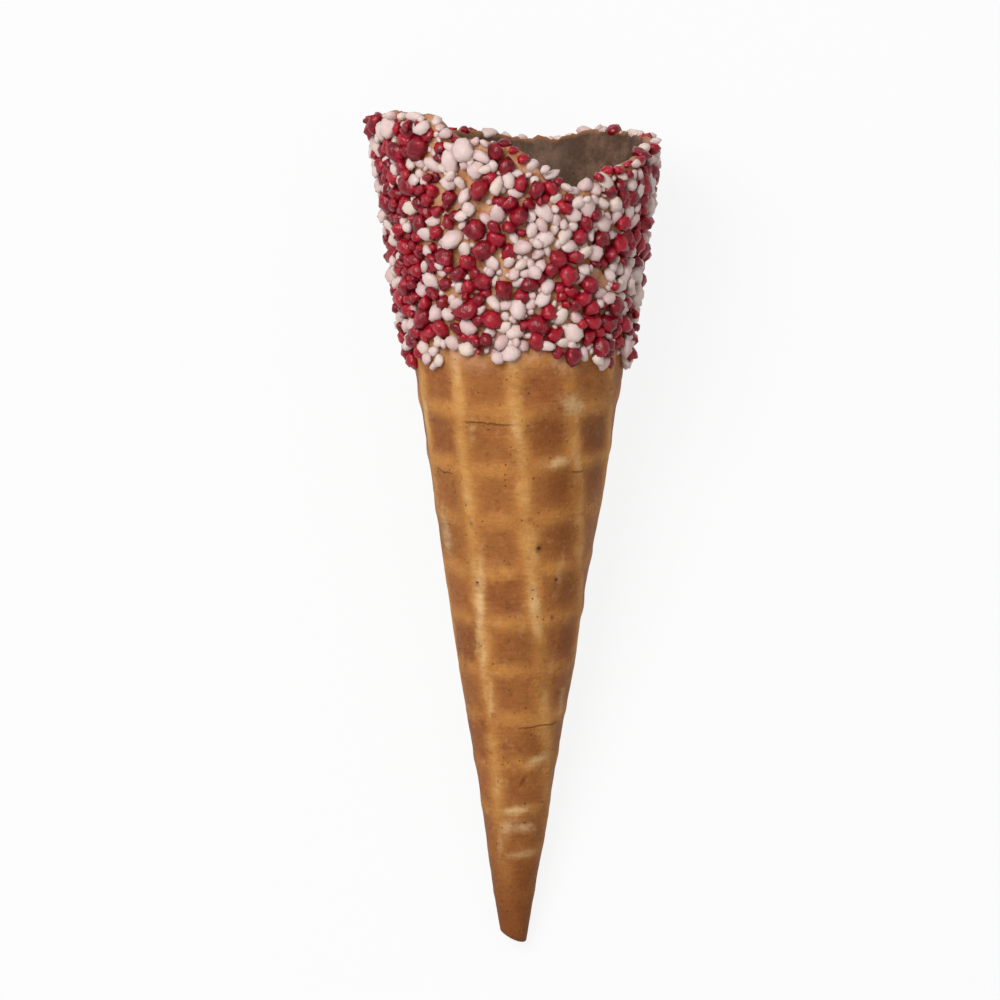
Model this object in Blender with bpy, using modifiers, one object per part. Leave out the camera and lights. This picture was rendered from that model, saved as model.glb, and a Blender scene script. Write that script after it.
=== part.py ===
"""Rolled waffle cone with a crunch-coated rim, lying on its side, at real size in metres.

Both solids are turned shells whose points are then moved by one shape function, so that the wafer's
outer face and the coating's inner face stay parallel. The cone's own axis is its local +Z, its
azimuth is 0 on the side that lies uppermost and grows towards +X, and heights are measured from the
point where the straight flanks would meet. An empty lays the finished cone down, mouth towards +Y.
"""

from math import atan2, ceil, cos, degrees, floor, pi, radians, sin, tan

import bmesh
import bpy
from mathutils import Matrix, Vector, noise

# Cone
HALF_ANGLE = radians(8.9)
TIP_HEIGHT = 0.0164
RIM_HEIGHT = 0.1748
WALL_AT_RIM = 0.0021
WALL_AT_TIP = 0.0032
HOLLOW_BOTTOM = 0.030
TIP_SLANT = 0.0024

# Waffle grid, in the flat sheet before it was rolled
ROW_PITCH = 0.01006
ROW_OFFSET = 0.0041
ROW_TURN = radians(-1.5)
COLUMN_PITCH = 0.0114
COLUMN_OFFSET = 0.0038
COLUMN_TURN = radians(-7.7)
RIDGE_HEIGHT = 0.0006
RIDGE_HALF_WIDTH = 0.0024

# The sheet's outer edge: azimuth in degrees at heights from the rim to the tip
SEAM_PATH = ((0.181, -34), (0.1312, 90), (0.105, 140), (0.070, 200), (0.040, 240), (0.016, 258))
SEAM_STEP = 0.0009
SEAM_WIDTH = 0.006

# Rim: height above RIM_HEIGHT at azimuths in degrees, once round
RIM_PROFILE = (
    (-90, 0.0050), (-60, 0.0058), (-40, 0.0052), (-22, 0.0008), (-5, 0.0002), (10, -0.0036),
    (25, -0.0072), (42, -0.0036), (58, -0.0020), (75, 0.0004), (110, 0.0026), (140, 0.0036),
    (168, 0.0018), (200, 0.0030), (235, 0.0042),
)
RIM_REACH = 0.026
RIM_LEAN = 0.0009

# Crunch coating
CRUNCH_BOTTOM = 0.1312
CRUNCH_THICKNESS = 0.0026
CRUNCH_ABOVE_RIM = 0.0012
CRUNCH_BUMP = 0.0008
CRUNCH_BUMP_SIZE = 0.0055
CRUNCH_EDGE_WAVE = 0.0012
FLAT_DEPTH = 0.0010
GAP = 0.0005

SEGMENTS = 52
ROWS_IN_BAND = 9
ROWS_INSIDE = 9


def smoothstep(low, high, value):
    """0 below low, 1 above high, and a soft change between."""
    t = min(1.0, max(0.0, (value - low) / (high - low)))
    return t * t * (3 - 2 * t)


def cosine_blend(a, b, t):
    return a + (b - a) * (1 - cos(pi * t)) / 2


def seam_azimuth(height):
    """Where the sheet's outer edge lies at this height."""
    if height >= SEAM_PATH[0][0]:
        return radians(SEAM_PATH[0][1])
    for (high, a), (low, b) in zip(SEAM_PATH, SEAM_PATH[1:]):
        if height >= low:
            return radians(a + (b - a) * (high - height) / (high - low))
    return radians(SEAM_PATH[-1][1])


def rim_offset(azimuth):
    """How far the rim stands above or below its mean height."""
    at = (degrees(azimuth) + 90) % 360 - 90
    closed = RIM_PROFILE + ((RIM_PROFILE[0][0] + 360, RIM_PROFILE[0][1]),)
    for (a, low), (b, high) in zip(closed, closed[1:]):
        if at <= b:
            return cosine_blend(low, high, (at - a) / (b - a))
    return closed[-1][1]


def ridge(position, pitch, offset):
    """1 on a ridge of the waffle iron's grid, 0 in the square between two ridges."""
    away = abs((position - offset + pitch / 2) % pitch - pitch / 2)
    return 1 - smoothstep(0, RIDGE_HALF_WIDTH, away)


def waffle_relief(height, azimuth):
    """Height of the pressed pattern on the rolled sheet: none at the tip or under the coating."""
    slant = height / cos(HALF_ANGLE)
    turn = azimuth * sin(HALF_ANGLE)
    row = ridge(slant * cos(turn - ROW_TURN), ROW_PITCH, ROW_OFFSET)
    column = ridge(slant * sin(turn - COLUMN_TURN), COLUMN_PITCH, COLUMN_OFFSET)
    below_coat = 1 - smoothstep(CRUNCH_BOTTOM - 0.003, CRUNCH_BOTTOM, height)
    above_tip = smoothstep(TIP_HEIGHT, TIP_HEIGHT + 0.012, height)
    return RIDGE_HEIGHT * max(row, column) * above_tip * below_coat


def outer_radius(height, azimuth, turns):
    """The wafer's outer face: a cone, a spiral that steps where the sheet ends, and the waffle relief."""
    spiral = SEAM_STEP * (turns - 0.5) * smoothstep(TIP_HEIGHT, 0.05, height)
    return height * tan(HALF_ANGLE) + spiral + waffle_relief(height, wrapped(azimuth))


def wrapped(azimuth):
    """The same azimuth between -pi and pi."""
    return (azimuth + pi) % (2 * pi) - pi


def wall_thickness(height):
    share = (height - TIP_HEIGHT) / (RIM_HEIGHT - TIP_HEIGHT)
    return WALL_AT_TIP + (WALL_AT_RIM - WALL_AT_TIP) * share


def placed(height, azimuth, radius):
    """A point of the cone, with the rim's waves and its slight lean put in."""
    near_rim = smoothstep(RIM_HEIGHT - RIM_REACH, RIM_HEIGHT, height)
    raised = height + rim_offset(azimuth) * near_rim
    return Vector((
        radius * sin(azimuth) - RIM_LEAN * near_rim,
        -radius * cos(azimuth),
        raised,
    ))


def outer_rows():
    """Heights of the wafer's outer rows: three to each ridge of the grid, wider apart under the coating."""
    first = ceil((TIP_HEIGHT - ROW_OFFSET) / ROW_PITCH)
    last = floor((CRUNCH_BOTTOM - ROW_OFFSET) / ROW_PITCH)
    heights = [TIP_HEIGHT]
    for count in range(first, last + 1):
        centre = (ROW_OFFSET + count * ROW_PITCH) * cos(HALF_ANGLE)
        for step in (-RIDGE_HALF_WIDTH, 0, RIDGE_HALF_WIDTH):
            if TIP_HEIGHT + 0.0015 < centre + step < CRUNCH_BOTTOM - 0.0015:
                heights.append(centre + step)
    return heights + band_rows()


def band_rows():
    """Heights of the rows that the wafer and the coating share."""
    step = (RIM_HEIGHT - CRUNCH_BOTTOM) / ROWS_IN_BAND
    return [CRUNCH_BOTTOM + step * count for count in range(ROWS_IN_BAND + 1)]


def turned_shell(name, profile, material):
    """A closed profile of (kind, height) turned once. Each point keeps its kind for the shaping that follows."""
    mesh = bpy.data.meshes.new(name)
    points = [(1.0 + 0.1 * index, 0.0, height) for index, (_, height) in enumerate(profile)]
    edges = [(index, index + 1) for index in range(len(points) - 1)]
    mesh.from_pydata(points, edges, [])
    shell = bpy.data.objects.new(name, mesh)
    bpy.context.scene.collection.objects.link(shell)
    screw = shell.modifiers.new("Turn", "SCREW")
    screw.axis = "Z"
    screw.angle = 2 * pi
    screw.steps = SEGMENTS
    screw.render_steps = SEGMENTS
    screw.use_merge_vertices = True
    screw.merge_threshold = 0.0001
    graph = bpy.context.evaluated_depsgraph_get()
    turned = bpy.data.meshes.new_from_object(shell.evaluated_get(graph))
    bpy.data.objects.remove(shell)
    solid = bpy.data.objects.new(name, turned)
    turned.name = name
    turned.materials.clear()
    turned.materials.append(material)
    return solid


def shape_shell(solid, profile, position, loop_closed):
    """Moves every turned point to its place, closes the ends and turns the faces outwards."""
    work = bmesh.new()
    work.from_mesh(solid.data)
    for vertex in work.verts:
        distance = (vertex.co.x ** 2 + vertex.co.y ** 2) ** 0.5
        kind, height = profile[round((distance - 1.0) / 0.1)]
        column = round(atan2(vertex.co.y, vertex.co.x) / (2 * pi) * SEGMENTS) % SEGMENTS
        vertex.co = position(kind, height, column / (SEGMENTS - 1) * (1 - SEAM_WIDTH))
    if not loop_closed:
        rims = [edge for edge in work.edges if edge.is_boundary]
        bmesh.ops.holes_fill(work, edges=rims, sides=0)
        ends = [face for face in work.faces if len(face.verts) > 4]
        bmesh.ops.poke(work, faces=ends)
    bmesh.ops.remove_doubles(work, verts=work.verts, dist=1e-6)
    bmesh.ops.recalc_face_normals(work, faces=work.faces)
    work.to_mesh(solid.data)
    work.free()
    solid.data.shade_smooth()
    solid.data.set_sharp_from_angle(angle=radians(50))


def make_material(name, colour, roughness):
    material = bpy.data.materials.new(name)
    material.use_nodes = True
    shader = material.node_tree.nodes["Principled BSDF"]
    shader.inputs["Base Color"].default_value = (*colour, 1.0)
    shader.inputs["Roughness"].default_value = roughness
    shader.inputs["Metallic"].default_value = 0.0
    return material


def wafer_position(kind, height, turns):
    """Wafer points by kind, outer or inner face, at a share of one turn from the sheet's edge."""
    along = seam_azimuth(height) + 2 * pi * turns
    if kind == "outer":
        point = placed(height, along, outer_radius(height, along, turns))
        if height == TIP_HEIGHT:
            point.z += TIP_SLANT * (1 - sin(along)) / 2
        return point
    return placed(height, along, height * tan(HALF_ANGLE) - wall_thickness(height))


def make_wafer():
    """The rolled wafer: an open cone with a pressed grid outside and a plain hollow inside."""
    profile = [("outer", height) for height in outer_rows()]
    depth = RIM_HEIGHT - HOLLOW_BOTTOM
    for count in range(ROWS_INSIDE + 1):
        profile.append(("inner", RIM_HEIGHT - depth * count / ROWS_INSIDE))
    material = make_material("baked_wafer", (0.44, 0.19, 0.065), 0.6)
    wafer = turned_shell("wafer_cone", profile, material)
    shape_shell(wafer, profile, wafer_position, loop_closed=False)
    return wafer


def crunch_position(kind, height, turns):
    """Coating points by kind: against the wafer, and out to the uneven outline of the granules."""
    along = seam_azimuth(height) + 2 * pi * turns
    # the coating bridges the step where the sheet ends
    skin = outer_radius(height, along, turns or 1.0)
    if kind == "inner":
        return placed(height, along, skin + GAP)
    if kind == "top_inner":
        return placed(height, along, skin + GAP) + Vector((0, 0, CRUNCH_ABOVE_RIM))
    plain = placed(height, along, skin + CRUNCH_THICKNESS)
    bump = noise.noise(plain / CRUNCH_BUMP_SIZE)
    point = placed(height, along, skin + CRUNCH_THICKNESS + CRUNCH_BUMP * bump)
    if kind == "top_outer":
        point.z += CRUNCH_ABOVE_RIM
    if height == CRUNCH_BOTTOM:
        point.z -= CRUNCH_EDGE_WAVE * abs(bump)
    return point


def make_crunch():
    """The coat of granules, as one collar out to its bumpy outline."""
    rows = band_rows()
    profile = [("outer", height) for height in rows]
    profile += [("top_outer", RIM_HEIGHT), ("top_inner", RIM_HEIGHT)]
    profile += [("inner", height) for height in reversed(rows)]
    profile.append(("outer", rows[0]))
    material = make_material("crunch", (0.62, 0.30, 0.32), 0.5)
    crunch = turned_shell("crunch_band", profile, material)
    shape_shell(crunch, profile, crunch_position, loop_closed=True)
    return crunch


def rest_tilt():
    """Angle between the cone's axis and the table: the tip and the coating's lower edge both touch."""
    from_tip = (CRUNCH_BOTTOM - TIP_HEIGHT) / cos(HALF_ANGLE)
    return HALF_ANGLE + atan2(CRUNCH_THICKNESS - FLAT_DEPTH, from_tip)


def lay_down(solids):
    """Lays the cone on the table, mouth towards +Y, and presses flat what would sink into it."""
    tilt = rest_tilt()
    rolled = Matrix.Rotation(tilt - pi / 2, 4, "X")
    tip_radius = TIP_HEIGHT * tan(HALF_ANGLE)
    lowest = rolled @ Vector((0, tip_radius, TIP_HEIGHT))
    raised = Matrix.Translation((0, 0, -lowest.z)) @ rolled
    corners = []
    for solid in solids:
        for vertex in solid.data.vertices:
            world = raised @ vertex.co
            world.z = max(0.0, world.z)
            corners.append(world)
            vertex.co = raised.inverted() @ world
    centre = [(min(p[i] for p in corners) + max(p[i] for p in corners)) / 2 for i in range(2)]
    table = bpy.data.objects.new("cone_on_table", None)
    table.matrix_world = Matrix.Translation((-centre[0], -centre[1], 0)) @ raised
    return table


def main():
    for old in list(bpy.data.objects):
        bpy.data.objects.remove(old)
    collection = bpy.data.collections.new("waffle_cone")
    bpy.context.scene.collection.children.link(collection)
    solids = [make_wafer(), make_crunch()]
    table = lay_down(solids)
    collection.objects.link(table)
    for solid in solids:
        collection.objects.link(solid)
        solid.parent = table


main()
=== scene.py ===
import random
from itertools import product
from math import cos, degrees, pi, radians, sin, sqrt, tan

import bpy
import bmesh
import numpy as np
from mathutils import Matrix, Vector, noise


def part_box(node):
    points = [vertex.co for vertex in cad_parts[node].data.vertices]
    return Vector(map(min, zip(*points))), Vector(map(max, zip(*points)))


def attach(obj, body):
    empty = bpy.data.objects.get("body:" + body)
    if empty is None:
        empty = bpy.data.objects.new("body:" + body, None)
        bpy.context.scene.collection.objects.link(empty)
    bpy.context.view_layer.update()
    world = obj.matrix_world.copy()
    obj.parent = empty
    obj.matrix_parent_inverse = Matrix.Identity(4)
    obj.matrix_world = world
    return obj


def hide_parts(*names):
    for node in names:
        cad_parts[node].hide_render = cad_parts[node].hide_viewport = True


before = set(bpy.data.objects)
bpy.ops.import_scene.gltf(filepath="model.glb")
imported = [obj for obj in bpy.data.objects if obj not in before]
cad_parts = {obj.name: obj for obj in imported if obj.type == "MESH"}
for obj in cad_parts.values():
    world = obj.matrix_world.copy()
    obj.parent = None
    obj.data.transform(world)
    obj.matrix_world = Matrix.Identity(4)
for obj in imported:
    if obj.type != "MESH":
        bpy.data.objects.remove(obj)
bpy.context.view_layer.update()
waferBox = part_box("wafer_cone")

# The cone's own line: it starts where the straight flanks would meet and climbs gently off the table.
cone = {
    "halfAngle": radians(8.9),
    "tilt": radians(9.689),
    "tipHeight": 0.0164,
    "rimHeight": 0.1748,
    "bandBottom": 0.1312,
    "sideShift": 0.00113,
    "tipInset": 0.00008,
}
centreX = 0.5 * (waferBox[0].x + waferBox[1].x) + cone["sideShift"]
tipY = waferBox[0].y + cone["tipInset"]
tipRadius = cone["tipHeight"] * tan(cone["halfAngle"])
lineDirection = Vector((0, cos(cone["tilt"]), sin(cone["tilt"])))
# the tip's lowest point stands on the table
tipAxis = Vector((centreX, tipY, tipRadius * cos(cone["tilt"])))
coneOrigin = tipAxis - lineDirection * cone["tipHeight"]
coneMatrix = Matrix.Translation(coneOrigin) @ Matrix.Rotation(cone["tilt"] - pi / 2, 4, "X")


# a field is a node's socket that can be added, multiplied and so on
class Field:
    def __init__(self, tree, socket):
        self.tree = tree
        self.socket = socket

    def math(self, kind, *others):
        made = self.tree.nodes.new("ShaderNodeMath")
        made.operation = kind
        plug(self.tree, self, made.inputs[0])
        for place, other in enumerate(others, 1):
            plug(self.tree, other, made.inputs[place])
        return Field(self.tree, made.outputs[0])

    def __add__(self, other):
        return self.math("ADD", other)

    def __sub__(self, other):
        return self.math("SUBTRACT", other)

    def __mul__(self, other):
        return self.math("MULTIPLY", other)

    def __truediv__(self, other):
        return self.math("DIVIDE", other)

    __radd__ = __add__
    __rmul__ = __mul__


def plug(tree, value, socket):
    if isinstance(value, Field):
        tree.links.new(value.socket, socket)
    elif isinstance(value, bpy.types.NodeSocket):
        tree.links.new(value, socket)
    else:
        socket.default_value = value


def addNode(tree, kind, inputs=None, **settings):
    made = tree.nodes.new(kind)
    for name, value in settings.items():
        setattr(made, name, value)
    for name, value in (inputs or {}).items():
        plug(tree, value, made.inputs[name])
    return made


def out(tree, made, name=0):
    return Field(tree, made.outputs[name])


def smoothStep(tree, value, low, high, fromValue=0.0, toValue=1.0):
    made = addNode(tree, "ShaderNodeMapRange", interpolation_type="SMOOTHSTEP")
    for place, item in enumerate((value, low, high, fromValue, toValue)):
        plug(tree, item, made.inputs[place])
    return out(tree, made)


def linearStep(tree, value, low, high):
    made = addNode(tree, "ShaderNodeMapRange", clamp=True)
    for place, item in enumerate((value, low, high, 0.0, 1.0)):
        plug(tree, item, made.inputs[place])
    return out(tree, made)


def noiseField(tree, where, scale, detail=2.0, roughness=0.5, w=None):
    # a w of its own gives another pattern at the same scale
    made = addNode(tree, "ShaderNodeTexNoise", noise_dimensions="3D" if w is None else "4D")
    values = {"Vector": where, "Scale": scale, "Detail": detail, "Roughness": roughness, "Distortion": 0.0}
    if w is not None:
        values["W"] = w
    for name, value in values.items():
        plug(tree, value, made.inputs[name])
    return out(tree, made)


def joinXyz(tree, x, y, z):
    return out(tree, addNode(tree, "ShaderNodeCombineXYZ", {0: x, 1: y, 2: z}))


def curveField(tree, value, points, low, high):
    # a smooth table: x in 0..1, y between low and high
    made = tree.nodes.new("ShaderNodeFloatCurve")
    plug(tree, value, made.inputs["Value"])
    curve = made.mapping.curves[0]
    curve.points[0].location = (points[0][0], (points[0][1] - low) / (high - low))
    curve.points[1].location = (points[-1][0], (points[-1][1] - low) / (high - low))
    for x, y in points[1:-1]:
        curve.points.new(x, (y - low) / (high - low))
    made.mapping.update()
    return Field(tree, made.outputs[0]) * (high - low) + low


def storeField(tree, geometry, name, value, kind="FLOAT"):
    made = addNode(tree, "GeometryNodeStoreNamedAttribute", {"Name": name}, data_type=kind, domain="POINT")
    tree.links.new(geometry, made.inputs["Geometry"])
    plug(tree, value, made.inputs["Value"])
    return made.outputs["Geometry"]


def newTree(name, values):
    # every size in the dictionary becomes a named input of the tree
    tree = bpy.data.node_groups.new(name, "GeometryNodeTree")
    tree.interface.new_socket(name="Geometry", in_out="INPUT", socket_type="NodeSocketGeometry")
    for key, value in values.items():
        kind = "NodeSocketInt" if isinstance(value, int) else "NodeSocketFloat"
        tree.interface.new_socket(name=key, in_out="INPUT", socket_type=kind)
    tree.interface.new_socket(name="Geometry", in_out="OUTPUT", socket_type="NodeSocketGeometry")
    entry = tree.nodes.new("NodeGroupInput")
    given = {key: Field(tree, entry.outputs[key]) for key in values}
    return tree, entry, given


def runTree(name, tree, values, mesh=None):
    holder = bpy.data.objects.new(name, mesh or bpy.data.meshes.new(name))
    bpy.context.scene.collection.objects.link(holder)
    modifier = holder.modifiers.new(name, "NODES")
    modifier.node_group = tree
    for item in tree.interface.items_tree:
        if item.in_out == "INPUT" and item.name in values:
            modifier[item.identifier] = values[item.name]
    graph = bpy.context.evaluated_depsgraph_get()
    result = bpy.data.meshes.new_from_object(holder.evaluated_get(graph))
    holder.modifiers.remove(modifier)
    holder.data = result
    result.name = name
    return holder


def finishTree(tree, geometry, material):
    real = addNode(tree, "GeometryNodeRealizeInstances")
    tree.links.new(geometry, real.inputs["Geometry"])
    paint = addNode(tree, "GeometryNodeSetMaterial")
    paint.inputs["Material"].default_value = material
    tree.links.new(real.outputs[0], paint.inputs["Geometry"])
    leave = tree.nodes.new("NodeGroupOutput")
    tree.links.new(paint.outputs[0], leave.inputs["Geometry"])


# the rolled wafer: one closed shell, pressed with a grid of ridges
wafer = {
    "Outer Rows": 236,
    "Rim Rows": 7,
    "Inner Rows": 30,
    "Columns": 288,
    "Half Angle": cone["halfAngle"],
    "Tip Height": cone["tipHeight"] - 0.0008,
    "Rim Height": cone["rimHeight"],
    "Hollow Bottom": 0.030,
    "Wall At Rim": 0.0019,
    "Wall At Tip": 0.0030,
    "First Row": 0.0344,
    "Row Pitch": 0.0089,
    "Row Growth": 0.000115,
    "Row Turn": radians(-1.5),
    "Column Pitch": 0.0116,
    "Column Offset": 0.0014,
    "Column Turn": radians(-6.2),
    "Ridge Height": 0.00034,
    "Ridge Half Width": 0.0038,
    "Sheet Step": 0.0009,
    "Rim Reach": 0.026,
    "Rim Lean": 0.0009,
    "Tip Slant": 0.0022,
    "Cap Rows": 8,
    "Cap Depth": 0.0011,
    "Mean Row Pitch": 0.0122,
    "Sheet Width": 0.998,
    "Wobble": 0.0014,
    "Rim Chips": 0.0030,
}

# the sheet's outer edge: height and azimuth in degrees
seamPath = ((0.016, 258), (0.040, 240), (0.070, 200), (0.105, 140), (0.1312, 90), (0.156, 30), (0.181, -34))

# the rim's wave: azimuth in degrees and height above the mean
rimProfile = (
    (-90, 0.0050), (-60, 0.0058), (-40, 0.0052), (-22, 0.0008), (-5, 0.0000), (10, -0.0046),
    (25, -0.0088), (42, -0.0050), (58, -0.0032), (75, -0.0004), (110, 0.0026), (140, 0.0036),
    (168, 0.0018), (200, 0.0030), (235, 0.0042), (270, 0.0050),
)


def seamAzimuth(height):
    if height <= seamPath[0][0]:
        return radians(seamPath[0][1])
    for (low, a), (high, b) in zip(seamPath, seamPath[1:]):
        if height <= high:
            return radians(a + (b - a) * (height - low) / (high - low))
    return radians(seamPath[-1][1])


def rimOffset(azimuth):
    at = (degrees(azimuth) + 90) % 360 - 90
    for (a, low), (b, high) in zip(rimProfile, rimProfile[1:]):
        if at <= b:
            return low + (high - low) * (1 - cos(pi * (at - a) / (b - a))) / 2
    return rimProfile[-1][1]


def smooth(low, high, value):
    t = min(1.0, max(0.0, (value - low) / (high - low)))
    return t * t * (3 - 2 * t)


def onCone(height, azimuth, out=0.0):
    # a point on the wafer's outer face, lifted by out along the radius, in the shared frame
    turns = ((azimuth - seamAzimuth(height)) / (2 * pi)) % 1
    radius = height * tan(cone["halfAngle"]) + wafer["Sheet Step"] * (turns - 0.5) + out
    nearRim = smooth(cone["rimHeight"] - wafer["Rim Reach"], cone["rimHeight"], height)
    return coneMatrix @ Vector((
        radius * sin(azimuth) - wafer["Rim Lean"] * nearRim,
        -radius * cos(azimuth),
        height + rimOffset(azimuth) * nearRim,
    ))


def seamField(tree, height):
    # the sheet edge's azimuth in radians, as a smooth curve through seamPath
    first = seamPath[0][0]
    reach = seamPath[-1][0] - first
    points = [((up - first) / reach, azimuth) for up, azimuth in seamPath]
    return curveField(tree, (height - first) / reach, points, -60, 280) * radians(1)


def rimField(tree, azimuth):
    # the rim's wave as a smooth curve through rimProfile, worked out in millimetres
    points = [((at + 90) / 360, height * 1000) for at, height in rimProfile]
    return curveField(tree, (azimuth / (2 * pi) + 0.25).math("FRACT"), points, -10, 10) * 0.001


def ridgeField(tree, count, halfWidth):
    # 1 on a ridge, 0 in the square between two ridges; count is whole on each ridge
    away = ((count + 0.5).math("FLOORED_MODULO", 1.0) - 0.5).math("ABSOLUTE")
    return smoothStep(tree, away, 0.0, halfWidth, 1.0, 0.0)


def buildWaferTree(material):
    tree, _, v = newTree("rolled wafer", wafer)
    rows = v["Outer Rows"] + v["Rim Rows"] + v["Inner Rows"]
    counts = {"Vertices X": v["Columns"] + 1, "Vertices Y": rows}
    grid = addNode(tree, "GeometryNodeMeshGrid", {"Size X": 1.0, "Size Y": 1.0, **counts})
    place = out(tree, addNode(tree, "GeometryNodeInputPosition"))
    split = addNode(tree, "ShaderNodeSeparateXYZ", {0: place})
    across = out(tree, split, "X") + 0.5
    row = (out(tree, split, "Y") + 0.5) * (rows - 1.0)
    columns = v["Columns"]
    # the last gap round is the narrow step where the sheet ends
    turns = (across * columns / (columns - 1.0) * v["Sheet Width"]).math("MINIMUM", 1.0)
    # rows: a domed tip, up the outside, over the rim, down the inside, closed at the bottom of the hollow
    rimEnd = v["Outer Rows"] + v["Rim Rows"]
    dome = linearStep(tree, row, 0.0, v["Cap Rows"])
    outside = linearStep(tree, row, v["Cap Rows"], v["Outer Rows"])
    over = linearStep(tree, row, v["Outer Rows"], rimEnd)
    inside = linearStep(tree, row, rimEnd, rows - 3.0)
    close = linearStep(tree, row, rows - 3.0, rows - 1.0)
    domeTurn = dome * (pi / 2)
    upOut = v["Tip Height"] - domeTurn.math("COSINE") * v["Cap Depth"] + v["Cap Depth"]
    length = v["Rim Height"] - v["Tip Height"] - v["Cap Depth"]
    height = upOut + outside * length - inside * (v["Rim Height"] - v["Hollow Bottom"])
    share = linearStep(tree, height, v["Tip Height"], v["Rim Height"])
    seam = seamField(tree, height)
    azimuth = seam + turns * (2 * pi)
    step = v["Sheet Step"] * (turns.math("FRACT") - 0.5) * smoothStep(tree, height, v["Tip Height"], 0.05)
    slope = v["Half Angle"].math("TANGENT")
    # where the grid falls: distances along and across the flat sheet, a little wobbly
    sheetTurn = (seam + turns.math("FRACT") * (2 * pi) - 2 * pi) * v["Half Angle"].math("SINE")
    slant = height / v["Half Angle"].math("COSINE")
    alongRow = slant * (sheetTurn - v["Row Turn"]).math("COSINE")
    alongColumn = slant * (sheetTurn - v["Column Turn"]).math("SINE")
    sheetPlace = joinXyz(tree, alongColumn, alongRow, 0.0)
    wobbleA = noiseField(tree, sheetPlace, 70.0, 1.0) - 0.5
    wobbleB = noiseField(tree, sheetPlace, 83.0, 1.0, w=3.0) - 0.5
    # the rows stand a little further apart towards the rim
    pitch = v["Row Pitch"]
    growth = v["Row Growth"] * 4.0 * (alongRow + wobbleA * v["Wobble"] - v["First Row"])
    rowAt = ((pitch * pitch + growth).math("SQRT") - pitch) / (v["Row Growth"] * 2.0)
    columnAt = (alongColumn + wobbleB * v["Wobble"] - v["Column Offset"]) / v["Column Pitch"]
    rowRidge = ridgeField(tree, rowAt, v["Ridge Half Width"] / v["Mean Row Pitch"]) * 0.8
    columnRidge = ridgeField(tree, columnAt, v["Ridge Half Width"] / v["Column Pitch"])
    ridges = rowRidge.math("SMOOTH_MAX", columnRidge, 0.25)
    # the iron bites unevenly, and hardly at all by the tip
    bite = noiseField(tree, sheetPlace, 75.0, 2.0, w=11.0)
    bite = smoothStep(tree, bite, 0.30, 0.62, 0.45, 1.0)
    fade = smoothStep(tree, height, v["Tip Height"], v["Tip Height"] + 0.012)
    deep = smoothStep(tree, height, 0.025, 0.080, 0.50, 1.0)
    lumps = (noiseField(tree, sheetPlace, 260.0, 3.0) - 0.5) * 0.00035
    swell = (noiseField(tree, sheetPlace, 45.0, 1.0, w=8.0) - 0.5) * 0.0006
    relief = (ridges * v["Ridge Height"] * deep + lumps + swell) * fade
    outerRadius = height * slope + step + relief
    wall = v["Wall At Tip"] + (v["Wall At Rim"] - v["Wall At Tip"]) * share
    innerWave = (noiseField(tree, sheetPlace, 60.0, 2.0, w=5.0) - 0.5) * 0.0006
    innerRadius = height * slope - wall + innerWave
    middle = (outerRadius + innerRadius) * 0.5
    half = (outerRadius - innerRadius) * 0.5
    turnOver = over * pi
    radius = middle + half * turnOver.math("COSINE")
    radius = radius * domeTurn.math("SINE") * (close * -1.0 + 1.0)
    nearRim = smoothStep(tree, height, v["Rim Height"] - v["Rim Reach"], v["Rim Height"])
    onCircle = joinXyz(tree, azimuth.math("COSINE"), azimuth.math("SINE"), 0.0)
    chips = noiseField(tree, onCircle, 7.0, 4.0, 0.65) - 0.5
    rim = rimField(tree, azimuth) + chips * v["Rim Chips"]
    tipLift = (azimuth.math("SINE") * domeTurn.math("SINE") * -0.5 + 0.5) * v["Tip Slant"]
    tipLift = tipLift * linearStep(tree, height, v["Tip Height"] + 0.012, v["Tip Height"])
    z = height + half * turnOver.math("SINE") + rim * nearRim + tipLift
    x = radius * azimuth.math("SINE") - v["Rim Lean"] * nearRim
    y = radius * azimuth.math("COSINE") * -1.0
    moved = addNode(tree, "GeometryNodeSetPosition", {"Position": joinXyz(tree, x, y, z)})
    mesh = grid.outputs["Mesh"]
    mesh = storeField(tree, mesh, "ridges", ridges * fade * bite * deep)
    mesh = storeField(tree, mesh, "upCone", height)
    mesh = storeField(tree, mesh, "rowAt", rowAt)
    cell = addNode(tree, "ShaderNodeTexWhiteNoise", noise_dimensions="2D")
    plug(tree, joinXyz(tree, rowAt.math("FLOOR"), columnAt.math("FLOOR"), 0.0), cell.inputs["Vector"])
    mesh = storeField(tree, mesh, "squareTone", out(tree, cell, "Value"))
    mesh = storeField(tree, mesh, "columnRidge", columnRidge * bite * deep)
    mesh = storeField(tree, mesh, "round", azimuth)
    mesh = storeField(tree, mesh, "inside", linearStep(tree, over + inside, 0.35, 0.9))
    mesh = storeField(tree, mesh, "sheetPlace", sheetPlace, "FLOAT_VECTOR")
    mesh = storeField(tree, mesh, "rim", linearStep(tree, over * (over * -1.0 + 1.0), 0.0, 0.12))
    tree.links.new(mesh, moved.inputs["Geometry"])
    merged = addNode(tree, "GeometryNodeMergeByDistance", {"Distance": 0.000004})
    tree.links.new(moved.outputs[0], merged.inputs["Geometry"])
    laid = addNode(tree, "GeometryNodeTransform")
    laid.inputs["Translation"].default_value = coneMatrix.to_translation()
    laid.inputs["Rotation"].default_value = coneMatrix.to_euler()
    tree.links.new(merged.outputs[0], laid.inputs["Geometry"])
    smoothed = addNode(tree, "GeometryNodeSetShadeSmooth")
    tree.links.new(laid.outputs[0], smoothed.inputs["Geometry"])
    finishTree(tree, smoothed.outputs[0], material)
    return tree


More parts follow.
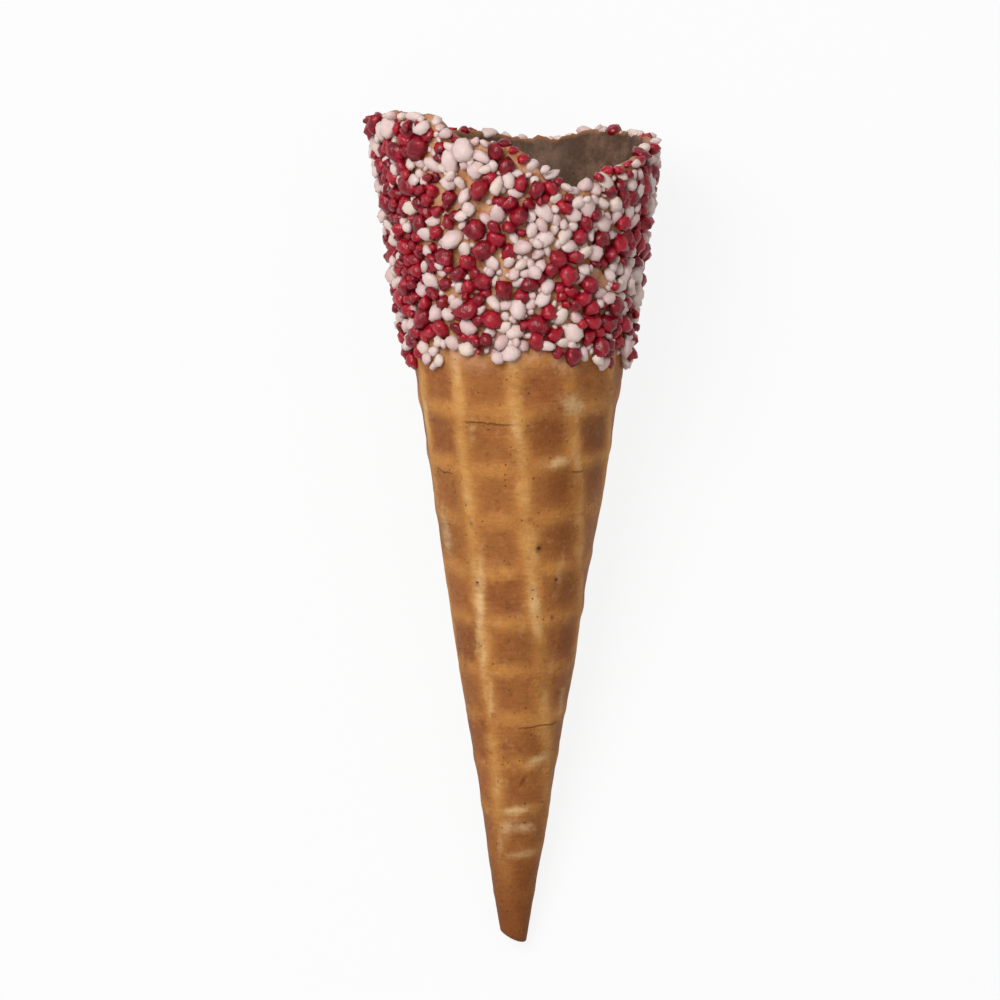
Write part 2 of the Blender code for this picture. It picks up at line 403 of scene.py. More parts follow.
# soft spots on the wafer: height, azimuth, half length, half width, turn of the length, strength
paleSpots = (
    (0.1242, 33, 0.0016, 0.0022, 20, 1.0), (0.1128, 26, 0.0022, 0.0008, 80, 0.9),
    (0.1128, 30, 0.0030, 0.0006, 85, 0.5), (0.0984, -66, 0.0042, 0.0016, 0, 0.8),
    (0.0850, -32, 0.0075, 0.0009, 6, 0.9), (0.0913, 37, 0.0050, 0.0008, 4, 0.4),
    (0.0532, 33, 0.0022, 0.0008, 70, 0.9), (0.0431, 5, 0.0030, 0.0007, 80, 0.8),
    (0.0397, -12, 0.0020, 0.0012, 40, 0.7), (0.0397, 18, 0.0030, 0.0010, 85, 0.7),
    (0.0341, 15, 0.0030, 0.0006, 82, 0.9), (0.0640, 62, 0.0030, 0.0010, 10, 0.6),
    (0.0655, -28, 0.0030, 0.0006, 4, 0.7), (0.0745, -33, 0.0040, 0.0007, 4, 0.7),
    (0.1194, -28, 0.0030, 0.0008, 8, 0.5), (0.0480, -26, 0.0022, 0.0007, 6, 0.6),
    (0.0360, -30, 0.0030, 0.0007, 0, 0.6), (0.0720, 38, 0.0050, 0.0006, 8, 0.4),
)
darkSpots = (
    (0.0958, 17, 0.0007, 0.0005, 30, 1.0), (0.0886, -33, 0.0004, 0.0004, 0, 1.0),
    (0.0893, 34, 0.0005, 0.0004, 0, 0.9), (0.0818, 33, 0.0004, 0.0003, 0, 0.8),
    (0.1006, -34, 0.0004, 0.0003, 0, 0.7), (0.0490, 12, 0.0009, 0.0003, 30, 0.8),
    (0.1190, 19, 0.0034, 0.0032, 0, 0.58), (0.1085, 31, 0.0032, 0.0030, 0, 0.58),
    (0.0980, 37, 0.0032, 0.0028, 0, 0.52), (0.1182, 56, 0.0034, 0.0030, 0, 0.55),
    (0.1105, 61, 0.0030, 0.0026, 0, 0.50), (0.0880, 47, 0.0034, 0.0026, 0, 0.48),
    (0.0980, -76, 0.0030, 0.0026, 0, 0.50), (0.0775, -44, 0.0026, 0.0024, 0, 0.36),
    (0.0775, 10, 0.0026, 0.0026, 0, 0.36), (0.0770, 56, 0.0030, 0.0022, 0, 0.48),
    (0.0680, 30, 0.0026, 0.0020, 0, 0.34), (0.0560, 22, 0.0024, 0.0026, 0, 0.40),
    (0.0300, 30, 0.0050, 0.0020, 0, 0.40), (0.0250, 14, 0.0030, 0.0020, 0, 0.34),
)
# fine cracks at a ridge's foot: height, azimuth, half length
crackReach = 0.0035
crackStrength = 1.15
cracks = (
    (0.1217, -18, 0.0040), (0.1130, 42, 0.0012), (0.0606, 34, 0.0034), (0.1120, -56, 0.0020),
    (0.0950, -60, 0.0016),
)


def paintSpots(mesh, name, spots):
    # soft ellipses, worked out on the sheet itself
    values, up, around = np.zeros((3, len(mesh.vertices)), np.float32)
    mesh.attributes["upCone"].data.foreach_get("value", up)
    mesh.attributes["round"].data.foreach_get("value", around)
    for height, azimuth, length, width, turn, strength in spots:
        side = (around - radians(azimuth) + pi) % (2 * pi) - pi
        x = side * up * sin(cone["halfAngle"])
        y = up - height
        a = radians(turn)
        u = (y * cos(a) + x * sin(a)) / length
        w = (x * cos(a) - y * sin(a)) / width
        values = np.maximum(values, strength * np.exp(-0.45 * (u * u + w * w)))
    made = mesh.attributes.new(name, "FLOAT", "POINT")
    made.data.foreach_set("value", values)


def newMaterial(name):
    material = bpy.data.materials.new(name)
    material.use_nodes = True
    tree = material.node_tree
    return material, tree, tree.nodes["Principled BSDF"]


def attribute(tree, name, kind="Fac"):
    made = addNode(tree, "ShaderNodeAttribute", attribute_name=name)
    return Field(tree, made.outputs[kind])


def mixColour(tree, share, first, second, kind="MIX"):
    made = addNode(tree, "ShaderNodeMix", data_type="RGBA", blend_type=kind)
    plug(tree, share, made.inputs[0])
    for value, socket in ((first, made.inputs[6]), (second, made.inputs[7])):
        if isinstance(value, tuple):
            socket.default_value = (*value, 1.0)
        else:
            plug(tree, value, socket)
    return Field(tree, made.outputs[2])


def srgb(*levels):
    # a colour given as red, green and blue from 0 to 255
    shares = [level / 255 for level in levels]
    return tuple(c / 12.92 if c <= 0.04045 else ((c + 0.055) / 1.055) ** 2.4 for c in shares)


def finishShader(tree, shader, colour, roughness, height, distance):
    # height is the fine relief, distance how deep it looks, in metres
    bump = addNode(tree, "ShaderNodeBump", {"Strength": 1.0, "Distance": distance, "Height": height})
    plug(tree, colour, shader.inputs["Base Color"])
    plug(tree, roughness, shader.inputs["Roughness"])
    tree.links.new(bump.outputs["Normal"], shader.inputs["Normal"])


def letLightIn(shader, weight, reach):
    # reach: how far red, green and blue light travel inside, in metres
    shader.inputs["Subsurface Weight"].default_value = weight
    shader.inputs["Subsurface Radius"].default_value = reach
    shader.inputs["Subsurface Scale"].default_value = 1.0


waferLook = {
    "square": srgb(154, 94, 45),
    "red": srgb(152, 86, 44),
    "ridge": srgb(190, 128, 62),
    "columnRidge": srgb(202, 146, 80),
    "pale": srgb(222, 188, 138),
    "dark": srgb(112, 58, 20),
    "crack": srgb(104, 48, 20),
    "speck": srgb(76, 38, 16),
    "tip": srgb(116, 60, 20),
    # the inside's dull coat: both tones darkened as painted shade for the hollow
    "inner": srgb(120, 92, 73),
    "innerDark": srgb(82, 58, 43),
    "coated": srgb(206, 160, 138),
    "roughness": 0.58,
    "shine": 0.18,
}


def makeWaferMaterial():
    material, tree, shader = newMaterial("baked wafer")
    look = waferLook
    spot = out(tree, addNode(tree, "ShaderNodeTexCoord"), "Object")
    ridges = attribute(tree, "ridges")
    columnRidge = attribute(tree, "columnRidge")
    upCone = attribute(tree, "upCone")
    inside = attribute(tree, "inside")
    rim = attribute(tree, "rim")
    rowAt = attribute(tree, "rowAt")
    squareTone = attribute(tree, "squareTone")
    broad = noiseField(tree, spot, 60.0, 3.0, 0.6)
    mottle = noiseField(tree, spot, 320.0, 5.0, 0.68)
    other = noiseField(tree, spot, 140.0, 4.0, 0.6, w=2.0)
    grain = noiseField(tree, spot, 1500.0, 4.0, 0.7)
    # fine marks drawn out along the sheet by the hot iron
    sheet = attribute(tree, "sheetPlace", "Vector")
    stretched = addNode(tree, "ShaderNodeMapping", {"Vector": sheet, "Scale": (330.0, 1500.0, 1.0)})
    drawn = noiseField(tree, out(tree, stretched), 1.0, 4.0, 0.65)
    # squares are darker and redder, ridges pale and golden, with a soft change between
    soft = ridges + (mottle - 0.5) * 0.9 + (broad - 0.5) * 1.2 + (other - 0.5) * 0.8 + (drawn - 0.5) * 0.4
    redness = smoothStep(tree, other + (squareTone - 0.5) * 0.3, 0.36, 0.66)
    square = mixColour(tree, redness, look["square"], look["red"])
    shaded = smoothStep(tree, squareTone + (broad - 0.5), 0.45, 1.0) * 0.35
    square = mixColour(tree, shaded, square, look["dark"])
    golden = smoothStep(tree, columnRidge + (other - 0.5), 0.3, 1.1)
    raised = mixColour(tree, golden, look["ridge"], look["columnRidge"])
    colour = mixColour(tree, smoothStep(tree, soft, -0.30, 1.05), square, raised)
    toast = smoothStep(tree, broad + (mottle - 0.5) * 0.8 - ridges * 0.15, 0.42, 0.74)
    colour = mixColour(tree, toast * 0.38, colour, look["dark"])
    dark = attribute(tree, "darkSpot")
    browned = smoothStep(tree, dark + (mottle - 0.5) * 0.4, 0.04, 0.62)
    colour = mixColour(tree, browned * 0.62, colour, look["dark"])
    # pale streaks along the crests of the long ridges: partly the wafer's paler crests, partly a painted
    # highlight on them
    crestStreakAndHighlight = smoothStep(tree, columnRidge + (mottle - 0.5) * 0.5, 0.55, 0.98)
    crestStreakAndHighlight = crestStreakAndHighlight * smoothStep(tree, noiseField(tree, spot, 105.0, 2.0, 0.5, w=6.0), 0.47, 0.66)
    crestStreakAndHighlight = crestStreakAndHighlight * smoothStep(tree, upCone, 0.045, 0.075, 0.25, 1.0)
    pale = attribute(tree, "paleSpot") + (mottle - 0.5) * 1.1 + (drawn - 0.5) * 0.4
    pale = smoothStep(tree, pale, 0.15, 1.25)
    colour = mixColour(tree, (crestStreakAndHighlight * 0.55).math("MAXIMUM", pale * 0.75), colour, look["pale"])
    fleck = noiseField(tree, spot, 620.0, 4.0, 0.65, w=4.0) + ridges * 0.05
    fleck = smoothStep(tree, fleck, 0.54, 0.72)
    colour = mixColour(tree, fleck * 0.13, colour, look["pale"])
    # small scorched flecks, pin-prick bubbles and a few larger holes
    scorch = noiseField(tree, spot, 540.0, 4.0, 0.65, w=9.0) - ridges * 0.05
    scorch = smoothStep(tree, scorch, 0.52, 0.70)
    colour = mixColour(tree, scorch * 0.42, colour, look["dark"])
    pins = addNode(tree, "ShaderNodeTexVoronoi", {"Vector": spot, "Scale": 900.0, "Randomness": 1.0})
    chance = out(tree, addNode(tree, "ShaderNodeSeparateColor", {"Color": out(tree, pins, "Color")}), "Red")
    pin = smoothStep(tree, out(tree, pins, "Distance"), 0.04, 0.24, 1.0, 0.0)
    pin = pin * smoothStep(tree, chance, 0.66, 0.95)
    colour = mixColour(tree, pin * 0.55, colour, look["crack"])
    hole = smoothStep(tree, dark + (mottle - 0.5) * 0.5, 0.62, 0.85)
    colour = mixColour(tree, hole * 0.8, colour, look["speck"])
    # hairline cracks along a ridge's foot
    foot = rowAt + 0.27 + (mottle - 0.5) * 0.12 + (other - 0.5) * 0.24
    foot = foot.math("FLOORED_MODULO", 1.0) - 0.1
    line = smoothStep(tree, foot.math("ABSOLUTE"), 0.004, 0.026, 1.0, 0.0)
    line = line * smoothStep(tree, attribute(tree, "crack") + (mottle - 0.5) * 0.8, 0.25, 0.80)
    colour = mixColour(tree, line * 0.62, colour, look["crack"])
    nearTip = smoothStep(tree, upCone + (broad - 0.5) * 0.02, 0.018, 0.046, 0.75, 0.0)
    colour = mixColour(tree, nearTip, colour, look["tip"])
    # the coated stretch carries a thin sugary haze; the inside is a dull brown coat, its colours darkened as
    # painted shade for the hollow
    haze = smoothStep(tree, noiseField(tree, spot, 380.0, 4.0, 0.7), 0.36, 0.62)
    coated = smoothStep(tree, upCone + (broad - 0.5) * 0.012, 0.129, 0.138)
    colour = mixColour(tree, coated * haze * 0.65, colour, look["coated"])
    smudge = noiseField(tree, spot, 130.0, 4.0, 0.65)
    innerCoatAndShade = mixColour(tree, smoothStep(tree, smudge, 0.38, 0.62), look["inner"], look["innerDark"])
    colour = mixColour(tree, inside, colour, innerCoatAndShade)
    colour = mixColour(tree, rim * mottle * 0.8, colour, look["square"])
    fine = (grain - 0.5) * 0.36 + (mottle - 0.5) * 0.42 + (drawn - 0.5) * 0.25 + 1.0
    colour = mixColour(tree, 1.0, colour, joinXyz(tree, fine, fine, fine), "MULTIPLY")
    roughness = mottle * 0.3 + (look["roughness"] - 0.12) - coated * 0.12
    relief = mottle * 0.8 + drawn * 0.2 + grain * 0.3 - pin * 0.5 - hole * 1.2 - line * 0.35
    finishShader(tree, shader, colour, roughness, relief, 0.0005)
    shader.inputs["Specular IOR Level"].default_value = look["shine"]
    letLightIn(shader, 0.05, (0.002, 0.001, 0.0005))
    return material


# the granules: a point for each, then a tree gives every point its lump
crunch = {
    "seed": 11,
    "paleLean": 0.13,
    "gathering": 0.62,
    "closeness": 0.77,
    "sizes": ((0.0040, 40), (0.0035, 320), (0.0031, 1500), (0.0027, 3600), (0.0023, 4200), (0.0020, 2600)),
    "onRim": 2400,
    "rimSizes": (0.0020, 0.0024, 0.0028, 0.0034),
    "onTop": 850,
    "topSizes": (0.0019, 0.0023, 0.0028),
    "crumbs": 1400,
    "crumbSizes": (0.0012, 0.0018),
    "cell": 0.006,
    "flatness": 0.85,
}

# where each kind gathers: azimuth in degrees, height, reach, and how strongly pale (+) or red (-)
gatherings = (
    (0, 0.157, 0.011, 0.5), (18, 0.160, 0.010, 0.4), (-20, 0.172, 0.008, 1.2), (-3, 0.150, 0.008, 0.5),
    (-50, 0.150, 0.008, -0.5), (-30, 0.142, 0.007, -0.5), (-66, 0.142, 0.008, -0.6),
    (-8, 0.163, 0.007, -0.6), (34, 0.142, 0.008, -0.7), (46, 0.160, 0.007, -0.4),
    (-55, 0.172, 0.008, -0.7), (60, 0.137, 0.007, -0.5), (52, 0.150, 0.006, 0.5),
    (-14, 0.136, 0.007, 0.3), (26, 0.168, 0.006, 0.4), (-36, 0.162, 0.005, -0.7),
    (12, 0.146, 0.005, -0.5), (75, 0.150, 0.008, 0.5), (-78, 0.160, 0.008, 0.5),
    (128, 0.174, 0.014, 0.8), (-52, 0.156, 0.015, -1.15), (66, 0.156, 0.010, -0.55),
)


# the largest granules are listed one by one: azimuth, height, size
largest = {
    "pebbles": (
        (-21, 0.1735, 0.0050), (-27, 0.1705, 0.0044), (-16, 0.1700, 0.0036), (12, 0.1658, 0.0036),
        (0, 0.1430, 0.0040), (11, 0.1452, 0.0034), (80, 0.1460, 0.0044), (28, 0.1385, 0.0040),
        (-4, 0.1345, 0.0036), (-62, 0.1730, 0.0038),
    ),
    "nuggets": (
        (-8, 0.1738, 0.0036), (-4, 0.1712, 0.0038), (-43, 0.1700, 0.0044), (-15, 0.1662, 0.0048),
        (1, 0.1625, 0.0036), (-19, 0.1585, 0.0046), (-10, 0.1570, 0.0038), (23, 0.1500, 0.0044),
        (-7, 0.1470, 0.0042), (-25, 0.1430, 0.0044), (-65, 0.1476, 0.0042), (-53, 0.1416, 0.0042),
        (9, 0.1402, 0.0042), (52, 0.1438, 0.0042), (67, 0.1695, 0.0044), (40, 0.1590, 0.0040),
        (-35, 0.1530, 0.0040), (45, 0.1360, 0.0040), (-74, 0.1745, 0.0040), (34, 0.1480, 0.0038),
    ),
}


def paleShare(height, azimuth, size):
    lean = crunch["paleLean"] - max(0.0, size - 0.0030) * 150
    for at, up, reach, pull in gatherings:
        side = (azimuth - radians(at) + pi) % (2 * pi) - pi
        away = sqrt((side * 0.025) ** 2 + (height - up) ** 2)
        lean += crunch["gathering"] * pull * max(0.0, 1 - away / (reach * 1.25))
    return lean


def outwards(height, azimuth):
    return (onCone(height, azimuth) - onCone(height, azimuth, -0.01)).normalized()


class GranuleBed:
    # keeps the granules that lie clear of their neighbours and above the table
    def __init__(self):
        self.rng = random.Random(crunch["seed"])
        self.cells = {}
        self.kinds = {"pebbles": [], "nuggets": [], "crumbs": []}

    def cellAt(self, point):
        return tuple(int(c // crunch["cell"]) for c in point)

    def near(self, point):
        x, y, z = self.cellAt(point)
        for i, j, k in product((-1, 0, 1), repeat=3):
            yield from self.cells.get((x + i, y + j, z + k), ())

    def choose(self, height, azimuth, size):
        chance = self.rng.uniform(-0.95, 0.95)
        return "pebbles" if paleShare(height, azimuth, size) + chance > 0 else "nuggets"

    def add(self, kind, point, size, normal, tone, closeness):
        if point.z < size * 0.42:
            return
        if any((point - other).length < (size + wide) * 0.5 * closeness for other, wide in self.near(point)):
            return
        self.cells.setdefault(self.cellAt(point), []).append((point, size))
        self.kinds[kind].append((point, size, normal, tone))


def placeLargest(bed):
    for kind, places in largest.items():
        for at, height, size in places:
            azimuth = radians(at)
            point = onCone(height, azimuth, size * 0.3)
            bed.add(kind, point, size, outwards(height, azimuth), bed.rng.random() * 0.6, 0.7)


def placeOnRim(bed):
    # granules that sit on the rim's edge, hardly any underneath
    rng = bed.rng
    top = cone["rimHeight"]
    axis = (coneMatrix.to_3x3() @ Vector((0, 0, 1))).normalized()
    for _ in range(crunch["onRim"]):
        azimuth = rng.uniform(-pi, pi)
        underneath = 165 < degrees(azimuth) % 360 < 245
        bare = noise.noise(Vector((cos(azimuth) * 4, sin(azimuth) * 4, 9.0)))
        if rng.random() < (0.93 if underneath else 0.15) or bare > 0.42:
            continue
        size = rng.choice(crunch["rimSizes"]) * rng.uniform(0.9, 1.1)
        point = onCone(top, azimuth, rng.uniform(-0.0010, 0.0012)) + axis * size * 0.22
        bed.add(bed.choose(top, azimuth, size), point, size, axis, rng.random(), 0.84)


def placeOnWall(bed, low, high):
    # from big to small, with a few bare patches and an uneven lower edge
    rng = bed.rng
    for size, tries in crunch["sizes"]:
        for _ in range(tries):
            height = low + (high - low) * rng.random() ** 0.92
            azimuth = rng.uniform(-pi, pi)
            own = size * rng.uniform(0.88, 1.12)
            bare = noise.noise(Vector((azimuth * 3.1, height * 130, 4.0)))
            edge = 0.0022 * (0.5 + noise.noise(Vector((azimuth * 4, 1.0, 2.0))))
            if (bare > 0.30 and height < 0.148) or bare > 0.46 or height < low + own * 0.45 + edge:
                continue
            kind = bed.choose(height, azimuth, own)
            point = onCone(height, azimuth, own * rng.uniform(0.22, 0.40))
            bed.add(kind, point, own, outwards(height, azimuth), rng.random(), crunch["closeness"])


def placeOnTop(bed, low, high):
    # a second, looser layer on top of the first
    rng = bed.rng
    for _ in range(crunch["onTop"]):
        height = low + 0.003 + (high - low - 0.003) * rng.random()
        azimuth = rng.uniform(-pi, pi)
        own = rng.choice(crunch["topSizes"]) * rng.uniform(0.9, 1.1)
        point = onCone(height, azimuth, 0.0014 + rng.uniform(0.0, 0.0007))
        kind = bed.choose(height, azimuth, own)
        bed.add(kind, point, own, outwards(height, azimuth), rng.random(), 0.66)


def placeCrumbs(bed, low, high):
    # crumbs fill the gaps
    rng = bed.rng
    for _ in range(crunch["crumbs"]):
        height = low + 0.004 + (high - low - 0.004) * rng.random()
        azimuth = rng.uniform(-pi, pi)
        own = rng.uniform(*crunch["crumbSizes"])
        point = onCone(height, azimuth, own * 0.3)
        bed.add("crumbs", point, own, outwards(height, azimuth), rng.random(), 0.68)


def placeGranules():
    bed = GranuleBed()
    low = cone["bandBottom"] - 0.0005
    high = cone["rimHeight"] - 0.0004
    placeLargest(bed)
    placeOnRim(bed)
    placeOnWall(bed, low, high)
    placeOnTop(bed, low, high)
    placeCrumbs(bed, low, high)
    return bed.kinds


def makeLump(name, seed, rough, rings):
    # one rounded, uneven lump of unit size
    work = bmesh.new()
    bmesh.ops.create_uvsphere(work, u_segments=rings + 2, v_segments=rings, radius=0.5)
    bmesh.ops.rotate(work, verts=work.verts, matrix=Matrix.Rotation(1.1 + seed, 3, "X"))
    for vertex in work.verts:
        shift = Vector((seed * 3.7, seed * 1.3, seed * 2.1))
        broad = noise.noise(vertex.co * 1.9 + shift)
        fine = noise.noise(vertex.co * 4.5 + shift)
        vertex.co *= 1 + (broad + fine * 0.5) * rough
        vertex.co.z *= crunch["flatness"]
    mesh = bpy.data.meshes.new(name)
    work.to_mesh(mesh)
    work.free()
    return bpy.data.objects.new(name, mesh)


def pointMesh(name, granules):
    mesh = bpy.data.meshes.new(name)
    mesh.from_pydata([g[0] for g in granules], [], [])
    size = mesh.attributes.new("size", "FLOAT", "POINT")
    tone = mesh.attributes.new("tone", "FLOAT", "POINT")
    facing = mesh.attributes.new("facing", "FLOAT_VECTOR", "POINT")
    for index, (_, own, normal, chance) in enumerate(granules):
        size.data[index].value = own
        tone.data[index].value = chance
        facing.data[index].vector = normal
    return mesh


def buildGranuleTree(name, lumps, settings, material):
    tree, entry, v = newTree(name, settings)
    collection = bpy.data.collections.new(name + " shapes")
    for lump in lumps:
        collection.objects.link(lump)
    choices = {"Collection": collection, "Separate Children": True, "Reset Children": True}
    shapes = addNode(tree, "GeometryNodeCollectionInfo", choices)
    size = addNode(tree, "GeometryNodeInputNamedAttribute", {"Name": "size"}, data_type="FLOAT")
    facing = addNode(tree, "GeometryNodeInputNamedAttribute", {"Name": "facing"}, data_type="FLOAT_VECTOR")
    outward = {"Vector": facing.outputs["Attribute"]}
    aligned = addNode(tree, "FunctionNodeAlignRotationToVector", outward, axis="Z")
    spin = addNode(tree, "FunctionNodeRandomValue", data_type="FLOAT_VECTOR")
    lean = v["Lean"]
    plug(tree, joinXyz(tree, lean * -1.0, lean * -1.0, -pi), spin.inputs["Min"])
    plug(tree, joinXyz(tree, lean, lean, pi), spin.inputs["Max"])
    plug(tree, v["Seed"], spin.inputs["Seed"])
    turned = addNode(tree, "FunctionNodeRotateRotation", rotation_space="LOCAL")
    tree.links.new(aligned.outputs[0], turned.inputs["Rotation"])
    tree.links.new(spin.outputs["Value"], turned.inputs["Rotate By"])
    stretch = addNode(tree, "FunctionNodeRandomValue", data_type="FLOAT_VECTOR")
    plug(tree, joinXyz(tree, 0.95, v["Least Width"], v["Least Width"]), stretch.inputs["Min"])
    plug(tree, joinXyz(tree, v["Most Width"], 1.0, v["Least Width"] * 1.15), stretch.inputs["Max"])
    plug(tree, v["Seed"] + 5.0, stretch.inputs["Seed"])
    scaled = addNode(tree, "ShaderNodeVectorMath", operation="SCALE")
    tree.links.new(stretch.outputs["Value"], scaled.inputs[0])
    tree.links.new(size.outputs["Attribute"], scaled.inputs["Scale"])
    placed = addNode(tree, "GeometryNodeInstanceOnPoints", {"Pick Instance": True})
    tree.links.new(entry.outputs["Geometry"], placed.inputs["Points"])
    tree.links.new(shapes.outputs[0], placed.inputs["Instance"])
    tree.links.new(turned.outputs[0], placed.inputs["Rotation"])
    tree.links.new(scaled.outputs[0], placed.inputs["Scale"])
    finishTree(tree, placed.outputs[0], material)
    return tree


pebbleGrain = {"Cloud Scale": 420.0, "Grain Scale": 2200.0, "Cloud Height": 0.8, "Grain Height": 0.25}
nuggetGrain = {"Cloud Scale": 430.0, "Grain Scale": 1900.0, "Cloud Height": 1.0, "Grain Height": 0.08}
pebbleLook = {
    "pale": srgb(221, 197, 191),
    "pink": srgb(213, 182, 178),
    "warm": srgb(223, 201, 189),
    "stain": srgb(194, 134, 136),
}
nuggetLook = {
    "red": srgb(160, 4, 30),
    "deep": srgb(126, 2, 23),
    "dark": srgb(90, 4, 22),
    # paintedHighlight: a pink-red colour painted on as highlights
    "paintedHighlight": srgb(192, 32, 60),
}


def makeGrainGroup():
    # clouds of tone, fine grain, and the two together as a height for bump
    group = bpy.data.node_groups.new("granule grain", "ShaderNodeTree")
    group.interface.new_socket(name="Place", in_out="INPUT", socket_type="NodeSocketVector")
    for name in pebbleGrain:
        group.interface.new_socket(name=name, in_out="INPUT", socket_type="NodeSocketFloat")
    for name in ("Cloud", "Grain", "Height"):
        group.interface.new_socket(name=name, in_out="OUTPUT", socket_type="NodeSocketFloat")
    entry = group.nodes.new("NodeGroupInput")
    given = {socket.name: Field(group, socket) for socket in entry.outputs if socket.name}
    cloud = noiseField(group, given["Place"], given["Cloud Scale"], 3.0, 0.6)
    grain = noiseField(group, given["Place"], given["Grain Scale"], 3.0, 0.6)
    height = cloud * given["Cloud Height"] + grain * given["Grain Height"]
    leave = group.nodes.new("NodeGroupOutput")
    for place, value in enumerate((cloud, grain, height)):
        plug(group, value, leave.inputs[place])
    return group


def placeGrain(tree, group, values):
    where = out(tree, addNode(tree, "ShaderNodeTexCoord"), "Object")
    made = tree.nodes.new("ShaderNodeGroup")
    made.node_tree = group
    for name, value in {"Place": where, **values}.items():
        plug(tree, value, made.inputs[name])
    return tuple(out(tree, made, name) for name in ("Cloud", "Grain", "Height"))


def makePebbleMaterial(group):
    material, tree, shader = newMaterial("pale sugar pebble")
    tone = attribute(tree, "tone")
    cloud, grain, height = placeGrain(tree, group, pebbleGrain)
    colour = mixColour(tree, smoothStep(tree, tone, 0.35, 1.0), pebbleLook["pale"], pebbleLook["pink"])
    colour = mixColour(tree, smoothStep(tree, tone, 0.05, 0.30, 1.0, 0.0), colour, pebbleLook["warm"])
    colour = mixColour(tree, smoothStep(tree, cloud, 0.56, 0.78) * 0.35, colour, pebbleLook["stain"])
    finishShader(tree, shader, colour, grain * 0.3 + 0.32, height, 0.0003)
    shader.inputs["Specular IOR Level"].default_value = 0.4
    letLightIn(shader, 0.15, (0.002, 0.0012, 0.0010))
    return material


def makeNuggetMaterial(group):
    material, tree, shader = newMaterial("dried fruit nugget")
    tone = attribute(tree, "tone")
    cloud, _, height = placeGrain(tree, group, nuggetGrain)
    colour = mixColour(tree, smoothStep(tree, tone, 0.1, 0.9), nuggetLook["deep"], nuggetLook["red"])
    # painted highlight: where the cloud is high, the nuggets get pink-red patches that stand in for their
    # gloss
    colour = mixColour(tree, smoothStep(tree, cloud, 0.50, 0.72) * 0.7, colour, nuggetLook["paintedHighlight"])
    colour = mixColour(tree, smoothStep(tree, cloud, 0.30, 0.46, 1.0, 0.0), colour, nuggetLook["dark"])
    finishShader(tree, shader, colour, cloud * 0.3 + 0.18, height, 0.0006)
    letLightIn(shader, 0.08, (0.002, 0.0006, 0.0005))
    return material


def addPiece(piece, node):
    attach(piece, "root")
    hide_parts(node)


waferPiece = runTree("wafer", buildWaferTree(makeWaferMaterial()), wafer)
print("wafer rolled:", len(waferPiece.data.polygons), "faces")

for name, spots in (("paleSpot", paleSpots), ("darkSpot", darkSpots),
                    ("crack", [(h, a, crackReach, w, 0, crackStrength) for h, a, w in cracks])):
    paintSpots(waferPiece.data, name, spots)
for vertex in waferPiece.data.vertices:
    vertex.co.z = max(vertex.co.z, 0.00002)
addPiece(waferPiece, "wafer_cone")

granules = placeGranules()
grainGroup = makeGrainGroup()
pebbleMaterial = makePebbleMaterial(grainGroup)
nuggetMaterial = makeNuggetMaterial(grainGroup)
kinds = {
    "pebbles": {"piece": "pale_pebbles", "shapes": 10, "firstSeed": 240, "rough": 0.36, "rings": 6,
                "material": pebbleMaterial,
                "sizes": {"Seed": 3, "Lean": 0.6, "Least Width": 0.74, "Most Width": 1.50}},
    "nuggets": {"piece": "red_nuggets", "shapes": 12, "firstSeed": 220, "rough": 0.56, "rings": 6,
                "material": nuggetMaterial,
                "sizes": {"Seed": 4, "Lean": 0.8, "Least Width": 0.84, "Most Width": 1.30}},
    "crumbs": {"piece": "small_crumbs", "shapes": 4, "firstSeed": 240, "rough": 0.5, "rings": 4,
               "material": pebbleMaterial,
               "sizes": {"Seed": 5, "Lean": 0.9, "Least Width": 0.8, "Most Width": 1.4}},
}
for kind, made in kinds.items():
    lumps = [makeLump(made["piece"] + "_shape%d" % i, made["firstSeed"] + i, made["rough"], made["rings"])
             for i in range(made["shapes"])]
    tree = buildGranuleTree(made["piece"], lumps, made["sizes"], made["material"])
    piece = runTree(made["piece"], tree, made["sizes"], pointMesh(made["piece"], granules[kind]))
    for vertex in piece.data.vertices:
        vertex.co.z = max(vertex.co.z, 0.00005)
    piece.data.shade_smooth()
    addPiece(piece, "crunch_band")
    print(made["piece"], len(granules[kind]), "granules,", len(piece.data.polygons), "faces")


# floor, light and camera
studio = {
    "floorSize": 6.0,
    "whiteShare": 0.88,
    "floorGrey": 0.72,
    "distance": 1.5,
    "lens": 270.0,
    "elevation": 82.3,
    "roll": 0.45,
    "aimHeight": 0.1048,
    "aimSide": -0.00336,
}


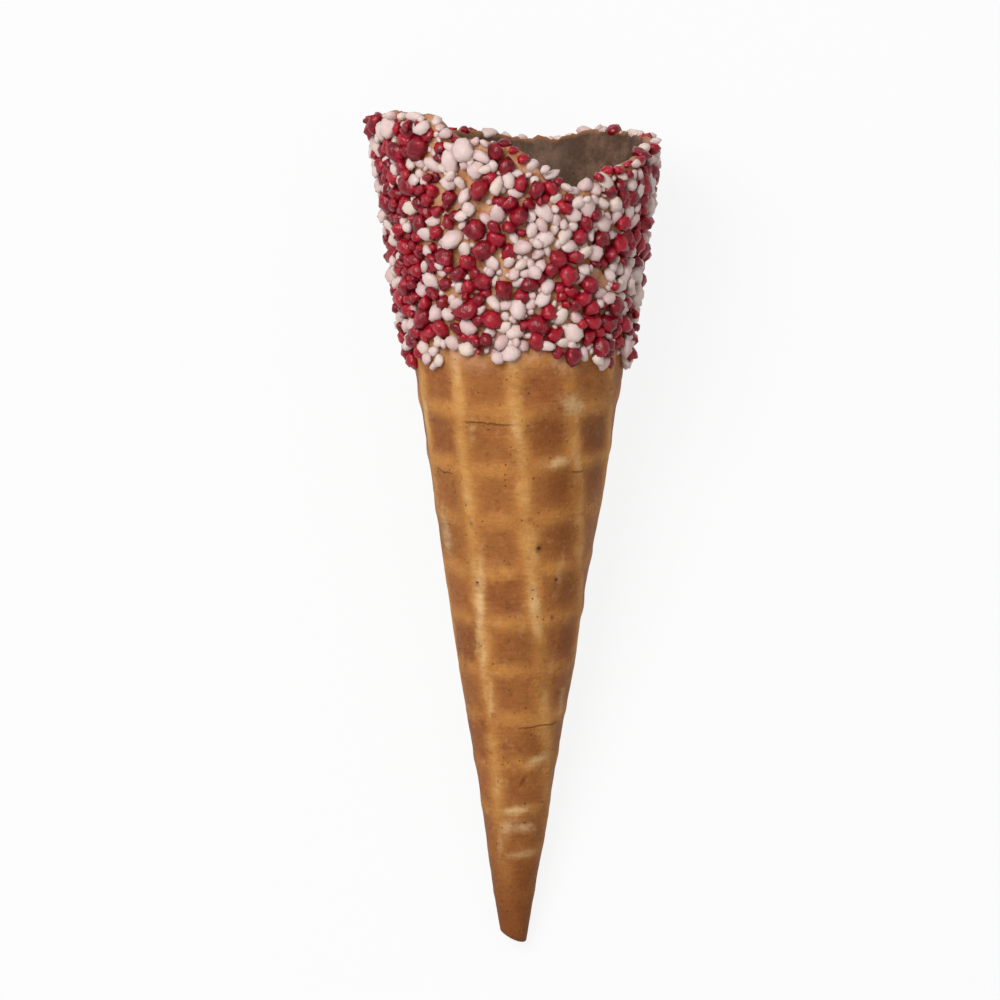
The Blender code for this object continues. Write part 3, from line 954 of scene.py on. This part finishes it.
def makeFloor():
    mesh = bpy.data.meshes.new("floor")
    half = studio["floorSize"] / 2
    corners = [(-half, -half, 0), (half, -half, 0), (half, half, 0), (-half, half, 0)]
    mesh.from_pydata(corners, [], [(0, 1, 2, 3)])
    floor = bpy.data.objects.new("floor", mesh)
    bpy.context.scene.collection.objects.link(floor)
    material, tree, shader = newMaterial("plain floor")
    grey = studio["floorGrey"]
    shader.inputs["Base Color"].default_value = (grey, grey, grey, 1)
    shader.inputs["Roughness"].default_value = 0.9
    # seen by the camera the floor is nearly white, and keeps a light shadow
    path = addNode(tree, "ShaderNodeLightPath")
    seen = out(tree, path, "Is Camera Ray")
    for name in ("Is Glossy Ray", "Is Transmission Ray"):
        seen = seen.math("MAXIMUM", out(tree, path, name))
    glow = addNode(tree, "ShaderNodeEmission", {"Strength": 1.0})
    glow.inputs["Color"].default_value = (1, 1, 1, 1)
    blend = addNode(tree, "ShaderNodeMixShader")
    plug(tree, seen * studio["whiteShare"], blend.inputs["Fac"])
    tree.links.new(shader.outputs[0], blend.inputs[1])
    tree.links.new(glow.outputs[0], blend.inputs[2])
    tree.links.new(blend.outputs[0], tree.nodes["Material Output"].inputs["Surface"])
    mesh.materials.append(material)


def addLamp(name, place, aim, size, power):
    light = bpy.data.lights.new(name, "AREA")
    light.shape = "SQUARE"
    light.size = size
    light.energy = power
    lamp = bpy.data.objects.new(name, light)
    bpy.context.scene.collection.objects.link(lamp)
    lamp.location = place
    lamp.rotation_mode = "QUATERNION"
    lamp.rotation_quaternion = (Vector(aim) - Vector(place)).to_track_quat("-Z", "Y")


def makeStudio():
    makeFloor()
    world = bpy.data.worlds.new("soft room")
    bpy.context.scene.world = world
    world.use_nodes = True
    world.node_tree.nodes["Background"].inputs[0].default_value = (1, 1, 1, 1)
    world.node_tree.nodes["Background"].inputs[1].default_value = 0.42
    addLamp("key", (-0.42, 0.25, 1.0), (0, 0, 0.02), 0.6, 9.5)
    addLamp("fill", (0.5, -0.3, 1.0), (0, 0, 0.02), 0.8, 0.8)
    aim = coneOrigin + lineDirection * studio["aimHeight"] + Vector((studio["aimSide"], 0, 0))
    elevation = radians(studio["elevation"])
    back = Vector((0, -cos(elevation), sin(elevation)))
    data = bpy.data.cameras.new("camera")
    data.lens = studio["lens"]
    data.sensor_width = 36
    data.clip_end = 20
    camera = bpy.data.objects.new("camera", data)
    bpy.context.scene.collection.objects.link(camera)
    camera.rotation_mode = "QUATERNION"
    look = (-back).to_track_quat("-Z", "Y")
    camera.rotation_quaternion = look @ Matrix.Rotation(radians(studio["roll"]), 3, "Z").to_quaternion()
    camera.location = aim + back * studio["distance"]
    bpy.context.scene.camera = camera
    bpy.context.scene.view_settings.view_transform = "Standard"


makeStudio()
print("studio set")
